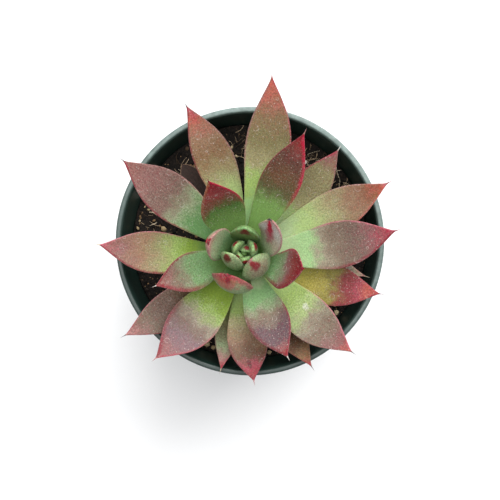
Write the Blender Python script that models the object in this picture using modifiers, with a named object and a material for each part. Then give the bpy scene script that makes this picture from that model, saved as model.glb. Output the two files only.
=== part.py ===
"""Lipstick echeveria, a leaf succulent, growing in a round plastic nursery pot.

Metres, +Z up. The origin is under the centre of the pot's flat foot.
The named sizes below are in millimetres and degrees, and mm() turns them into metres.
"""
import math
from collections import namedtuple

import bmesh
import bpy
from mathutils import Matrix, Vector, noise

# Clearance between pieces that meet
GAP = 0.3

# Pot: a 5 inch nursery pot
POT_HEIGHT = 95.0
POT_RIM_RADIUS = 63.5
POT_LIP_WIDTH = 2.6
POT_LIP_DROP = 5.0
POT_LIP_CORNER = 0.8
POT_WALL = 1.2
POT_FOOT_INNER_RADIUS = 45.0
POT_FLOOR = 2.0
POT_FOOT_ROUND = 1.5
POT_SEGMENTS = 64
DRAIN_HOLES = 6
DRAIN_RADIUS = 4.5
DRAIN_CENTRE_RADIUS = 38.5
DRAIN_SIDES = 16
DRAIN_CUT_DEPTH = 4 * POT_FLOOR

# Soil: fills the pot to a little under the rim. Its top is made of wide lumps with smaller ones
# on them, each given by a height, a size and the slice of the noise that it is read from.
SOIL_LEVEL = 75.5
SOIL_LUMP = 1.3
SOIL_LUMP_SIZE = 9.0
SOIL_LUMP_SLICE = 0.3
SOIL_CLOD = 0.45
SOIL_CLOD_SIZE = 3.5
SOIL_CLOD_SLICE = 7.1
SOIL_RINGS = 7
SOIL_SEGMENTS = POT_SEGMENTS

# Stem: stands off the pot's axis, its foot sunk in a plain hole in the soil
STEM_X = -2.8
STEM_Y = -5.6
STEM_SEGMENTS = 20
# Flats of the turned sides cut a little into the gap, which this makes up for
STEM_GAP_SHARE = 1.1
# Height over the pot's foot and radius, from the top down
STEM_PROFILE = (
    (104.5, 3.6),
    (102.5, 4.8),
    (98.0, 6.4),
    (93.0, 7.6),
    (86.0, 8.2),
    (77.0, 8.2),
    (70.0, 6.4),
    (52.0, 3.0),
)

# Leaves: the first leaf's height on the stem, how far up each next one grows, how far its foot
# starts inside the stem before it is cut clear, its thickness along the edges, and the power that
# rounds its underside, with 2 for a plain arch and more for a fuller one
LEAF_FOOT_HEIGHT = 79.6
LEAF_RISE = 0.92
LEAF_SINK = 1.6
LEAF_EDGE = 0.7
LEAF_UNDERSIDE_POWER = 2.2

# Place along a leaf from foot to tip, and the share of its full width there
LEAF_WIDTHS = (
    (0.0, 0.41), (0.15, 0.54), (0.35, 0.82), (0.52, 1.0), (0.65, 0.97),
    (0.76, 0.78), (0.86, 0.45), (0.93, 0.17), (0.96, 0.07), (1.0, 0.03),
)
# Place along a leaf and the share of its full thickness there
LEAF_DEPTHS = (
    (0.0, 0.54), (0.2, 0.84), (0.42, 1.0), (0.65, 0.88), (0.82, 0.55),
    (0.93, 0.27), (0.96, 0.16), (1.0, 0.08),
)
# Places along a leaf where its outline and thickness are set, the tip being one more
LEAF_STATIONS = (0.0, 0.12, 0.25, 0.38, 0.5, 0.61, 0.71, 0.80, 0.875, 0.93, 0.962)
LEAF_ACROSS = (-1.0, -0.55, 0.0, 0.55, 1.0)

# One row for each leaf, oldest first, with its azimuth at the stem and at the tip, the reach of
# the tip from the stem's axis, the height of the tip over the pot's foot, width, thickness and
# slope at the stem. `rise` lifts the edges over the midline, `roll` turns the leaf about its
# length, `bow` shifts its middle sideways, `full` keeps it wide nearer to the tip, and `belly`
# says how far it holds the slope that it starts with.
Leaf = namedtuple("Leaf", "foot_az tip_az reach tip_z width depth slope rise roll bow full belly")
LEAVES = (
    Leaf(258, 258.6, 56.0, 101.0, 14.0, 4.4, 12, 0.8, 25, 0.5, 1.0, 0.45),
    Leaf(353, 349.1, 58.5, 99.0, 13.0, 4.2, 8, 0.8, 0, 0.5, 1.0, 0.45),
    Leaf(299, 300.8, 62.0, 104.0, 17.0, 4.8, 16, 0.9, 0, 0.0, 1.0, 0.45),
    Leaf(48, 47.7, 65.5, 104.5, 17.5, 4.8, 15, 0.9, 0, -3.0, 1.1, 0.45),
    Leaf(216, 214.6, 67.5, 106.0, 18.0, 5.0, 16, 1.0, 0, 2.0, 1.1, 0.45),
    Leaf(341, 343.4, 66.0, 108.0, 20.0, 5.0, 18, 1.0, 0, -2.0, 1.1, 0.45),
    Leaf(108, 111.5, 73.5, 109.0, 18.5, 5.2, 16, 1.0, 0, -2.0, 1.1, 0.45),
    Leaf(270, 274.5, 59.5, 109.0, 18.5, 5.2, 21, 1.0, 0, -0.5, 1.35, 0.45),
    Leaf(27, 26.0, 74.0, 112.0, 19.5, 5.4, 18, 1.1, 0, -1.5, 1.1, 0.45),
    Leaf(177, 176.6, 67.0, 112.0, 19.5, 5.4, 20, 1.1, 0, 2.2, 1.1, 0.45),
    Leaf(316, 317.6, 67.5, 113.0, 20.5, 5.4, 21, 1.1, 0, -1.5, 1.1, 0.45),
    Leaf(77, 81.1, 82.5, 114.0, 21.0, 5.6, 18, 1.1, 0, -2.0, 1.1, 0.45),
    Leaf(232, 229.9, 62.5, 119.0, 22.5, 5.6, 25, 1.2, 0, 2.2, 1.1, 0.45),
    Leaf(6, 8.5, 70.0, 118.5, 21.5, 5.6, 24, 1.2, 0, -2.0, 1.15, 0.45),
    Leaf(142, 142.5, 69.0, 120.0, 22.5, 5.6, 25, 1.2, 0, 0.8, 1.1, 0.45),
    Leaf(290, 293.0, 51.0, 122.0, 19.5, 5.4, 32, 1.3, 0, -1.0, 1.1, 0.45),
    Leaf(62, 63.2, 60.5, 125.0, 18.5, 5.4, 33, 1.3, 0, 0.0, 1.05, 0.45),
    Leaf(199, 200.4, 42.0, 127.0, 17.5, 5.2, 42, 1.5, 0, 0.0, 1.0, 0.45),
    Leaf(335, 345.4, 27.3, 125.0, 19.5, 4.8, 41, 1.8, 0, -1.0, 1.7, 0.45),
    Leaf(116, 116.1, 35.5, 130.0, 20.0, 5.0, 48, 1.8, 0, 0.0, 1.05, 0.45),
    Leaf(251, 232.0, 11.8, 127.0, 20.0, 4.2, 30, 2.4, 0, 1.0, 1.5, 0.64),
    Leaf(9, 53.0, 18.8, 129.0, 15.0, 3.4, 48, 1.6, 66, 0.0, 1.6, 0.50),
    Leaf(159, 161.5, 16.4, 127.0, 15.5, 3.8, 56, 2.6, 0, 0.0, 1.5, 0.50),
    Leaf(314, 308.0, 4.0, 124.0, 16.5, 3.3, 37, 3.0, 0, 0.0, 1.6, 0.72),
    Leaf(80, 87.7, 11.2, 124.0, 14.0, 3.4, 66, 2.4, 0, 0.0, 1.5, 0.45),
    Leaf(243, 177.0, 7.6, 122.0, 11.0, 2.7, 48, 1.8, 0, 0.0, 1.3, 0.52),
)
# The withered leaf lies low between the green ones, near the soil
DRY_LEAF_FOOT_HEIGHT = 79.5
DRY_LEAF = Leaf(124, 125.0, 52.0, 84.0, 14.0, 1.2, 4, 1.0, 0, 0.0, 1.4, 0.45)

# Heart: the youngest leaves, still closed over the growing point and grown together at the foot
HEART_CORE_RADIUS = 3.2
HEART_CORE_TOP_RADIUS = 0.9
HEART_CORE_HEIGHT = 9.0
HEART_CORE_SIDES = 12
HEART_LEAF_FOOT = 2.2
HEART_STATIONS = (0.0, 0.25, 0.5, 0.71, 0.86, 0.95)
HEART_LEAVES = (
    Leaf(140, 131.0, 4.8, 118.5, 7.6, 2.6, 62, 1.2, 0, 0.0, 1.7, 0.50),
    Leaf(12, 38.0, 5.2, 119.0, 8.6, 2.6, 58, 1.2, 0, 0.0, 1.7, 0.50),
    Leaf(284, 278.0, 2.8, 118.0, 6.2, 2.4, 60, 1.0, 0, 0.0, 1.7, 0.50),
    Leaf(222, 205.0, 2.0, 117.0, 5.4, 2.2, 64, 0.8, 0, 0.0, 1.7, 0.50),
    Leaf(80, 30.0, 1.6, 116.5, 5.4, 2.2, 66, 0.8, 0, 0.0, 1.7, 0.50),
)

# Colour and roughness of each material
FINISHES = {
    "pot_plastic": ((0.02, 0.045, 0.035), 0.45),
    "soil_peat": ((0.015, 0.011, 0.008), 0.95),
    "stem_bark": ((0.16, 0.10, 0.05), 0.8),
    "leaf_skin": ((0.22, 0.36, 0.17), 0.45),
    "dry_skin": ((0.06, 0.035, 0.02), 0.8),
}


def mm(*values):
    """Millimetres as metres: one number alone, or a vector of three."""
    if len(values) == 1:
        return values[0] * 0.001
    return Vector(values) * 0.001


def new_collection(name):
    collection = bpy.data.collections.new(name)
    bpy.context.scene.collection.children.link(collection)
    return collection


def new_material(name):
    colour, roughness = FINISHES[name]
    material = bpy.data.materials.new(name)
    material.use_nodes = True
    shader = material.node_tree.nodes["Principled BSDF"]
    shader.inputs["Base Color"].default_value = (*colour, 1.0)
    shader.inputs["Roughness"].default_value = roughness
    shader.inputs["Metallic"].default_value = 0.0
    material.diffuse_color = (*colour, 1.0)
    return material


def add_mesh_object(name, mesh, collection, material=None):
    obj = bpy.data.objects.new(name, mesh)
    collection.objects.link(obj)
    if material is not None:
        mesh.materials.append(material)
    return obj


def as_cutter(obj):
    obj.hide_render = True
    obj.display_type = "WIRE"
    return obj


def cut(obj, cutter):
    modifier = obj.modifiers.new("cut_" + cutter.name, "BOOLEAN")
    modifier.operation = "DIFFERENCE"
    modifier.object = cutter


def smooth_value(points, place):
    """Height at `place` of a smooth line through the points, with cubic spans."""
    last = len(points) - 1
    span = 0
    while span < last - 1 and place > points[span + 1][0]:
        span += 1

    def slope(index):
        low = points[max(index - 1, 0)]
        high = points[min(index + 1, last)]
        return (high[1] - low[1]) / (high[0] - low[0])

    x0, y0 = points[span]
    x1, y1 = points[span + 1]
    width = x1 - x0
    u = min(max((place - x0) / width, 0.0), 1.0)
    rise = y1 - y0
    start = slope(span) * width
    end = slope(span + 1) * width
    return y0 + u * start + u * u * (3 * rise - 2 * start - end) + u ** 3 * (start + end - 2 * rise)


def linear_value(points, place):
    """Value at `place` on straight runs between points listed by falling place."""
    for (high, at_high), (low, at_low) in zip(points, points[1:]):
        if place >= low:
            share = min((place - low) / (high - low), 1.0)
            return at_low + (at_high - at_low) * share
    return points[-1][1]


def turned(name, profile, centre, segments, collection, material=None):
    """A solid turned about a vertical axis from (radius, height) points, top to bottom."""
    mesh = bpy.data.meshes.new(name)
    points = [mm(radius, 0.0, height) for radius, height in profile]
    edges = [(i, i + 1) for i in range(len(points) - 1)]
    mesh.from_pydata(points, edges, [])
    obj = add_mesh_object(name, mesh, collection, material)
    obj.location = mm(centre[0], centre[1], 0.0)
    screw = obj.modifiers.new("turn", "SCREW")
    screw.steps = segments
    screw.render_steps = segments
    screw.use_merge_vertices = True
    screw.merge_threshold = 0.00001
    return obj


def pot_inner_radius(height):
    """Inside radius of the pot's straight tapered wall."""
    top = POT_RIM_RADIUS - POT_LIP_WIDTH
    share = (height - POT_FLOOR) / (POT_HEIGHT - POT_FLOOR)
    return POT_FOOT_INNER_RADIUS + (top - POT_FOOT_INNER_RADIUS) * share


def arc(centre, radius, start, end, steps):
    """Points round a centre, from one angle in degrees to another."""
    points = []
    for step in range(steps + 1):
        angle = math.radians(start + (end - start) * step / steps)
        points.append((centre[0] + radius * math.cos(angle), centre[1] + radius * math.sin(angle)))
    return points


def pot_profile():
    """The pot's section: its inside from the floor up, over the lip, then down its outside."""
    lip_round = POT_LIP_WIDTH / 2
    lip_centre = (POT_RIM_RADIUS - lip_round, POT_HEIGHT - lip_round)
    lip_foot = POT_HEIGHT - POT_LIP_DROP
    corner = (POT_RIM_RADIUS - POT_LIP_CORNER, lip_foot + POT_LIP_CORNER)
    foot = pot_inner_radius(POT_FLOOR) + POT_WALL
    points = [(0.0, POT_FLOOR)]
    points.append((pot_inner_radius(POT_FLOOR), POT_FLOOR))
    points.append((pot_inner_radius(lip_centre[1]), lip_centre[1]))
    points += arc(lip_centre, lip_round, 150, 0, 5)
    points += arc(corner, POT_LIP_CORNER, 0, -90, 2)
    points.append((pot_inner_radius(lip_foot) + POT_WALL, lip_foot - POT_LIP_CORNER / 2))
    points += arc((foot - POT_FOOT_ROUND, POT_FOOT_ROUND), POT_FOOT_ROUND, 0, -90, 2)
    points.append((0.0, 0.0))
    return points


def build_pot(collection, cutters, material):
    pot = turned("pot", pot_profile(), (0.0, 0.0), POT_SEGMENTS, collection, material)
    for index in range(DRAIN_HOLES):
        angle = 2 * math.pi * index / DRAIN_HOLES
        bpy.ops.mesh.primitive_cylinder_add(
            vertices=DRAIN_SIDES,
            radius=mm(DRAIN_RADIUS),
            depth=mm(DRAIN_CUT_DEPTH),
            location=mm(
                DRAIN_CENTRE_RADIUS * math.cos(angle),
                DRAIN_CENTRE_RADIUS * math.sin(angle),
                POT_FLOOR / 2,
            ),
        )
        hole = bpy.context.object
        hole.name = f"drain_hole_{index + 1}"
        move_to(hole, cutters)
        cut(pot, as_cutter(hole))
    return pot


def move_to(obj, collection):
    for owner in list(obj.users_collection):
        owner.objects.unlink(obj)
    collection.objects.link(obj)


def stem_radius(height):
    return linear_value(STEM_PROFILE, height)


def build_stem(collection, material):
    top, foot = STEM_PROFILE[0], STEM_PROFILE[-1]
    profile = [(0.0, top[0])]
    profile += [(radius, height) for height, radius in STEM_PROFILE]
    profile.append((0.0, foot[0]))
    return turned("stem", profile, (STEM_X, STEM_Y), STEM_SEGMENTS, collection, material)


def build_stem_cutter(cutters):
    """The stem's own shape, larger by the gap on every side."""
    top, foot = STEM_PROFILE[0], STEM_PROFILE[-1]
    profile = [(0.0, top[0] + GAP), (top[1] + GAP, top[0] + GAP)]
    profile += [(radius + GAP * STEM_GAP_SHARE, height) for height, radius in STEM_PROFILE[1:]]
    profile += [(foot[1] + GAP * STEM_GAP_SHARE, foot[0] - GAP), (0.0, foot[0] - GAP)]
    cutter = turned("stem_space", profile, (STEM_X, STEM_Y), STEM_SEGMENTS, cutters)
    return as_cutter(cutter)


def soil_height(x, y):
    """Level of the lumpy soil at a place over the pot's floor, in millimetres."""
    lump = noise.noise(Vector((x / SOIL_LUMP_SIZE, y / SOIL_LUMP_SIZE, SOIL_LUMP_SLICE)))
    clod = noise.noise(Vector((x / SOIL_CLOD_SIZE, y / SOIL_CLOD_SIZE, SOIL_CLOD_SLICE)))
    return SOIL_LEVEL + SOIL_LUMP * lump + SOIL_CLOD * clod


def build_soil(collection, cutter, material):
    floor = POT_FLOOR + GAP
    top_radius = pot_inner_radius(SOIL_LEVEL - SOIL_LUMP) - GAP
    foot_radius = pot_inner_radius(floor) - GAP
    mesh = bmesh.new()
    centre = mesh.verts.new(mm(0.0, 0.0, soil_height(0.0, 0.0)))
    foot_centre = mesh.verts.new(mm(0.0, 0.0, floor))
    rings = []
    for ring in range(1, SOIL_RINGS + 1):
        radius = top_radius * ring / SOIL_RINGS
        rings.append(soil_ring(mesh, radius, None))
    rings.append(soil_ring(mesh, foot_radius, floor))
    for index in range(SOIL_SEGMENTS):
        after = (index + 1) % SOIL_SEGMENTS
        mesh.faces.new((centre, rings[0][index], rings[0][after]))
        for inner, outer in zip(rings, rings[1:]):
            mesh.faces.new((inner[index], outer[index], outer[after], inner[after]))
        mesh.faces.new((foot_centre, rings[-1][after], rings[-1][index]))
    data = bpy.data.meshes.new("soil")
    mesh.to_mesh(data)
    mesh.free()
    soil = add_mesh_object("soil", data, collection, material)
    cut(soil, cutter)
    return soil


def soil_ring(mesh, radius, level):
    ring = []
    for index in range(SOIL_SEGMENTS):
        angle = 2 * math.pi * index / SOIL_SEGMENTS
        x = radius * math.cos(angle)
        y = radius * math.sin(angle)
        height = soil_height(x, y) if level is None else level
        ring.append(mesh.verts.new(mm(x, y, height)))
    return ring


def direction(azimuth):
    angle = math.radians(azimuth)
    return Vector((math.cos(angle), math.sin(angle), 0.0))


def leaf_line(leaf, foot_height, foot_radius):
    """The three points that steer a leaf's upper midline, in millimetres."""
    axis = Vector((STEM_X, STEM_Y, 0.0))
    up = Vector((0.0, 0.0, 1.0))
    outward = direction(leaf.foot_az)
    foot = axis + outward * foot_radius + up * foot_height
    tip = axis + direction(leaf.tip_az) * leaf.reach + up * leaf.tip_z
    slope = math.radians(leaf.slope)
    start = outward * math.cos(slope) + up * math.sin(slope)
    bend = foot + start * (tip - foot).length * leaf.belly
    bend += direction(leaf.foot_az + 90) * 2 * leaf.bow
    return foot, bend, tip


def leaf_frame(line, leaf, t):
    """Point, sideways and upward directions of a leaf at the share t of its length."""
    foot, bend, tip = line
    point = foot * (1 - t) ** 2 + bend * 2 * t * (1 - t) + tip * t * t
    along = ((bend - foot) * (1 - t) + (tip - bend) * t).normalized()
    side = direction(leaf.foot_az + 90)
    side = (side - along * side.dot(along)).normalized()
    side = Matrix.Rotation(math.radians(leaf.roll) * t * t, 3, along) @ side
    return point, side, along.cross(side)


def leaf_ring(line, leaf, t):
    """Points round a leaf at t: over its upper face, then back under it."""
    point, side, up = leaf_frame(line, leaf, t)
    share = smooth_value(LEAF_WIDTHS, t ** leaf.full)
    half = leaf.width / 2 * share
    thick = leaf.depth * smooth_value(LEAF_DEPTHS, t)
    edge = min(LEAF_EDGE, thick)
    upper = []
    lower = []
    for across in LEAF_ACROSS:
        height = leaf.rise * share * across * across
        thickness = edge + (thick - edge) * (1 - abs(across) ** LEAF_UNDERSIDE_POWER)
        base = point + side * half * across
        upper.append(base + up * height)
        lower.append(base + up * (height - thickness))
    return upper + lower[::-1]


def loft(name, rings, tip, collection, material):
    """A closed solid through rings of as many points each, shut by a cap and a tip."""
    mesh = bmesh.new()
    loops = [[mesh.verts.new(mm(*p)) for p in ring] for ring in rings]
    point = mesh.verts.new(mm(*tip))
    count = len(loops[0])
    half = count // 2
    for near, far in zip(loops, loops[1:]):
        for i in range(count):
            j = (i + 1) % count
            mesh.faces.new((near[i], far[i], far[j], near[j]))
    for i in range(count):
        j = (i + 1) % count
        mesh.faces.new((loops[-1][i], point, loops[-1][j]))
    for i in range(half - 1):
        cap = (loops[0][i], loops[0][i + 1], loops[0][count - 2 - i], loops[0][count - 1 - i])
        mesh.faces.new(cap)
    bmesh.ops.triangulate(mesh, faces=mesh.faces[:])
    bmesh.ops.recalc_face_normals(mesh, faces=mesh.faces[:])
    data = bpy.data.meshes.new(name)
    mesh.to_mesh(data)
    mesh.free()
    data.shade_smooth()
    return add_mesh_object(name, data, collection, material)


def build_leaf(name, leaf, foot_height, collection, material):
    foot_radius = stem_radius(foot_height) - LEAF_SINK
    line = leaf_line(leaf, foot_height, foot_radius)
    rings = [leaf_ring(line, leaf, t) for t in LEAF_STATIONS]
    return loft(name, rings, line[2], collection, material)


def build_leaves(collection, cutter, material):
    for index, leaf in enumerate(LEAVES):
        height = LEAF_FOOT_HEIGHT + LEAF_RISE * index
        obj = build_leaf(f"leaf_{index + 1:02d}", leaf, height, collection, material)
        cut(obj, cutter)


def heart_core(foot_height, collection):
    bpy.ops.mesh.primitive_cone_add(
        vertices=HEART_CORE_SIDES,
        radius1=mm(HEART_CORE_RADIUS),
        radius2=mm(HEART_CORE_TOP_RADIUS),
        depth=mm(HEART_CORE_HEIGHT),
        location=mm(STEM_X, STEM_Y, foot_height + HEART_CORE_HEIGHT / 2),
    )
    core = bpy.context.object
    core.name = "heart"
    core.data.name = "heart"
    move_to(core, collection)
    return core


def join_all(obj, pieces):
    """Unite a body with every object of a collection, then drop those objects."""
    modifier = obj.modifiers.new("join", "BOOLEAN")
    modifier.operation = "UNION"
    modifier.operand_type = "COLLECTION"
    modifier.collection = pieces
    depsgraph = bpy.context.evaluated_depsgraph_get()
    joined = bpy.data.meshes.new_from_object(obj.evaluated_get(depsgraph))
    obj.modifiers.clear()
    obj.data = joined
    for piece in list(pieces.objects):
        bpy.data.objects.remove(piece)
    bpy.data.collections.remove(pieces)


def build_heart(collection, material):
    """Small closed leaves on a short core, joined in one body."""
    pieces = new_collection("heart_leaves")
    foot_height = STEM_PROFILE[0][0] + GAP
    for index, leaf in enumerate(HEART_LEAVES):
        line = leaf_line(leaf, foot_height + HEART_LEAF_FOOT, HEART_CORE_RADIUS / 2)
        rings = [leaf_ring(line, leaf, t) for t in HEART_STATIONS]
        loft(f"heart_leaf_{index + 1}", rings, line[2], pieces, material)
    heart = heart_core(foot_height, collection)
    heart.data.materials.append(material)
    join_all(heart, pieces)


def main():
    for obj in list(bpy.data.objects):
        bpy.data.objects.remove(obj)
    plant = new_collection("lipstick_echeveria")
    cutters = new_collection("cutters")
    finish = {name: new_material(name) for name in FINISHES}
    stem_space = build_stem_cutter(cutters)
    build_pot(plant, cutters, finish["pot_plastic"])
    build_soil(plant, stem_space, finish["soil_peat"])
    build_stem(plant, finish["stem_bark"])
    build_leaves(plant, stem_space, finish["leaf_skin"])
    dry_leaf = build_leaf("dry_leaf", DRY_LEAF, DRY_LEAF_FOOT_HEIGHT, plant, finish["dry_skin"])
    cut(dry_leaf, stem_space)
    build_heart(plant, finish["leaf_skin"])


main()
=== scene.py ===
"""Looks of a potted lipstick echeveria, seen from straight above.

Metres, +Z up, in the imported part's frame. The named sizes are in millimetres and degrees, and
MM turns them into metres. Leaf places are shares of the leaf's length, from foot to tip, and of
its half width, from -1 to 1.
"""
import math
import random
from collections import namedtuple

import bmesh
import bpy
import numpy as np
from mathutils import Matrix, Vector, noise


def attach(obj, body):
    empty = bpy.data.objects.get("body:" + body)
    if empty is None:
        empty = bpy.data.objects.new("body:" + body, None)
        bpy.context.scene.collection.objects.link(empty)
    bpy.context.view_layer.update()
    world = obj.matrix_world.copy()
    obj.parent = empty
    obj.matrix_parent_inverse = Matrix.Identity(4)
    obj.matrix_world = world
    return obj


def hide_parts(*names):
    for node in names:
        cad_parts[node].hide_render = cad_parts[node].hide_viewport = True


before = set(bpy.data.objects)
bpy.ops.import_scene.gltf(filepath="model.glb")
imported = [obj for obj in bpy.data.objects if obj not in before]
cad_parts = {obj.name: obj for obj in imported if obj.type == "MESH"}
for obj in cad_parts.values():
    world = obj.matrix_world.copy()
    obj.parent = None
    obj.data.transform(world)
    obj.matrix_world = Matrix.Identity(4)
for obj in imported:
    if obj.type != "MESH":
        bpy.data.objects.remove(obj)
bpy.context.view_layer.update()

MM = 0.001

# Camera: it looks straight down, a little to the -Y side of the pot's axis
CAMERA_HEIGHT = 615.0
CAMERA_Y = -4.2
VIEW_WIDTH_AT_RIM = 235.9
SENSOR_WIDTH = 36.0

# Pot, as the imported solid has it
POT_HEIGHT = 95.0
POT_RIM_RADIUS = 63.5
POT_LIP_WIDTH = 2.6
POT_LIP_DROP = 5.0
POT_LIP_CORNER = 0.8
POT_LIP_SQUARE = 3.2
POT_WALL = 1.2
POT_FOOT_INNER_RADIUS = 45.0
POT_FLOOR = 2.0
POT_FOOT_ROUND = 1.5
POT_SEGMENTS = 240
DRAIN_HOLES = 6
DRAIN_RADIUS = 4.5
DRAIN_CENTRE_RADIUS = 38.5
DRAIN_SIDES = 48

# Soil
SOIL_LEVEL = 75.5
SOIL_LUMP = 1.3
SOIL_LUMP_SIZE = 9.0
SOIL_LUMP_SLICE = 0.3
SOIL_CLOD = 0.45
SOIL_CLOD_SIZE = 3.5
SOIL_CLOD_SLICE = 7.1
SOIL_ROUGHNESS = 0.45
SOIL_GAP = 0.3
SOIL_RINGS = 90
SOIL_SEGMENTS = 240
CRUMBS = 2600
CRUMB_SEED = 11
CRUMB_SMALLEST = 0.3
CRUMB_SPREAD = 1.1
CRUMB_MARGIN = 1.5
CRUMB_REACH = 1.4
CRUMB_LIFT = 0.25
FIBRE_SEED = 5
FIBRE_LENGTHS = (1.5, 7.0)
FIBRE_RADII = (0.08, 0.22)
FIBRE_REST = 0.3
FIBRE_LIFTS = (0.2, 1.4)
FIBRE_BEND = 45
FIBRE_KINK = 12
FIBRE_STEPS = 7
FIBRE_SIDES = 4
FIBRE_MARGIN = 3.0

# Pale grains of perlite and grit on the soil, as (x, y, size)
GRAINS = (
    (-52.0, 20.9, 1.7), (-50.4, 18.6, 1.2), (-48.9, 18.3, 1.2), (-51.5, 16.9, 0.8), (-56.7, 6.6, 1.3),
    (-42.0, 6.1, 1.9), (-8.8, 46.2, 1.2), (-6.8, 41.8, 1.1), (26.9, 38.8, 1.3), (26.4, 34.9, 1.0),
    (45.5, -37.5, 1.6), (9.8, -57.0, 1.4), (-49.6, 15.5, 0.8), (50.0, -11.0, 0.9), (-54.0, 10.0, 0.7),
    (-21.6, -51.4, 1.9), (-18.2, -52.4, 1.5), (-15.5, -51.6, 1.1), (41.5, -31.5, 1.0),
    (-46.0, 13.5, 0.6),
)

# Where fibres lie thickest, as (x, y, spread, count)
FIBRE_PATCHES = (
    (33.0, 41.0, 5.0, 90), (45.0, 27.0, 4.0, 45), (-20.0, 44.0, 5.0, 30), (-6.0, 47.0, 4.0, 24),
    (-38.0, 32.0, 6.0, 40), (-48.0, 10.0, 6.0, 24), (-20.0, -45.0, 8.0, 40), (50.0, -20.0, 8.0, 30),
    (0.0, 0.0, 40.0, 160),
)

# Stem
STEM_X = -2.8
STEM_Y = -5.6
STEM_SEGMENTS = 64
STEM_PROFILE = (
    (104.5, 3.6),
    (102.5, 4.8),
    (98.0, 6.4),
    (93.0, 7.6),
    (86.0, 8.2),
    (77.0, 8.2),
    (70.0, 6.4),
    (52.0, 3.0),
)

# Leaves: the first one's height on the stem, how far up each next one grows, how far its foot
# starts inside the stem, its thickness along the edges, and the power that rounds its underside
LEAF_FOOT_HEIGHT = 79.6
LEAF_RISE = 0.92
LEAF_SINK = 1.3
LEAF_EDGE = 0.7
LEAF_UNDERSIDE_POWER = 2.2

# Place along a leaf from foot to tip, and the share of its full width or thickness there. The
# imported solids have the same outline, apart from its last seventh, which is a little wider here
# and ends in a finer tip
LEAF_WIDTHS = (
    (0.0, 0.41), (0.15, 0.54), (0.35, 0.82), (0.52, 1.0), (0.65, 0.97),
    (0.76, 0.78), (0.86, 0.46), (0.93, 0.20), (0.96, 0.09), (0.98, 0.035), (1.0, 0.012),
)
LEAF_DEPTHS = (
    (0.0, 0.54), (0.2, 0.84), (0.42, 1.0), (0.65, 0.88), (0.82, 0.55),
    (0.93, 0.27), (0.96, 0.16), (1.0, 0.04),
)

# The end spine, the rows and columns of points, and the ripple of the faces
LEAF_SPINE = 2.0
LEAF_ROWS = 72
LEAF_COLUMNS = 23
LEAF_ROW_CROWDING = 1.25
LEAF_LAST_ROW = 0.995
LEAF_ROUNDNESS = 6.0
LEAF_RIPPLE = 0.16
LEAF_RIPPLE_SIZE = 7.0

# Each leaf's pattern is cut from a place of its own: its number times the shift, in millimetres
PATTERN_SHIFT = 40.0
HEART_PATTERN = 30
DRY_PATTERN = 50

# Young leaves are plump and blunt. Each has a share of that form, on top of the outline above, by
# its place in LEAVES
PLUMP_WIDTHS = ((0.0, 0.55), (0.3, 0.8), (0.6, 1.0), (0.8, 0.9), (0.9, 0.7), (0.96, 0.46), (1.0, 0.1))
PLUMP_DEPTHS = ((0.0, 0.9), (0.3, 1.3), (0.6, 1.5), (0.8, 1.35), (0.9, 1.05), (0.96, 0.7), (1.0, 0.15))
PLUMP_EDGE = 0.55
PLUMP_LIFT = 0.45
PLUMP_ROUNDNESS = 2.6
PLUMPNESS = {19: 0.12, 20: 0.05, 21: 0.6, 22: 0.55, 23: 0.8, 24: 0.9, 25: 0.9, 26: 1.0}
HEART_SWELL = 1.05

# Share of the half width that a leaf lacks on its anticlockwise side, by its place in LEAVES
TRIMS = {15: 0.13}

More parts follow.
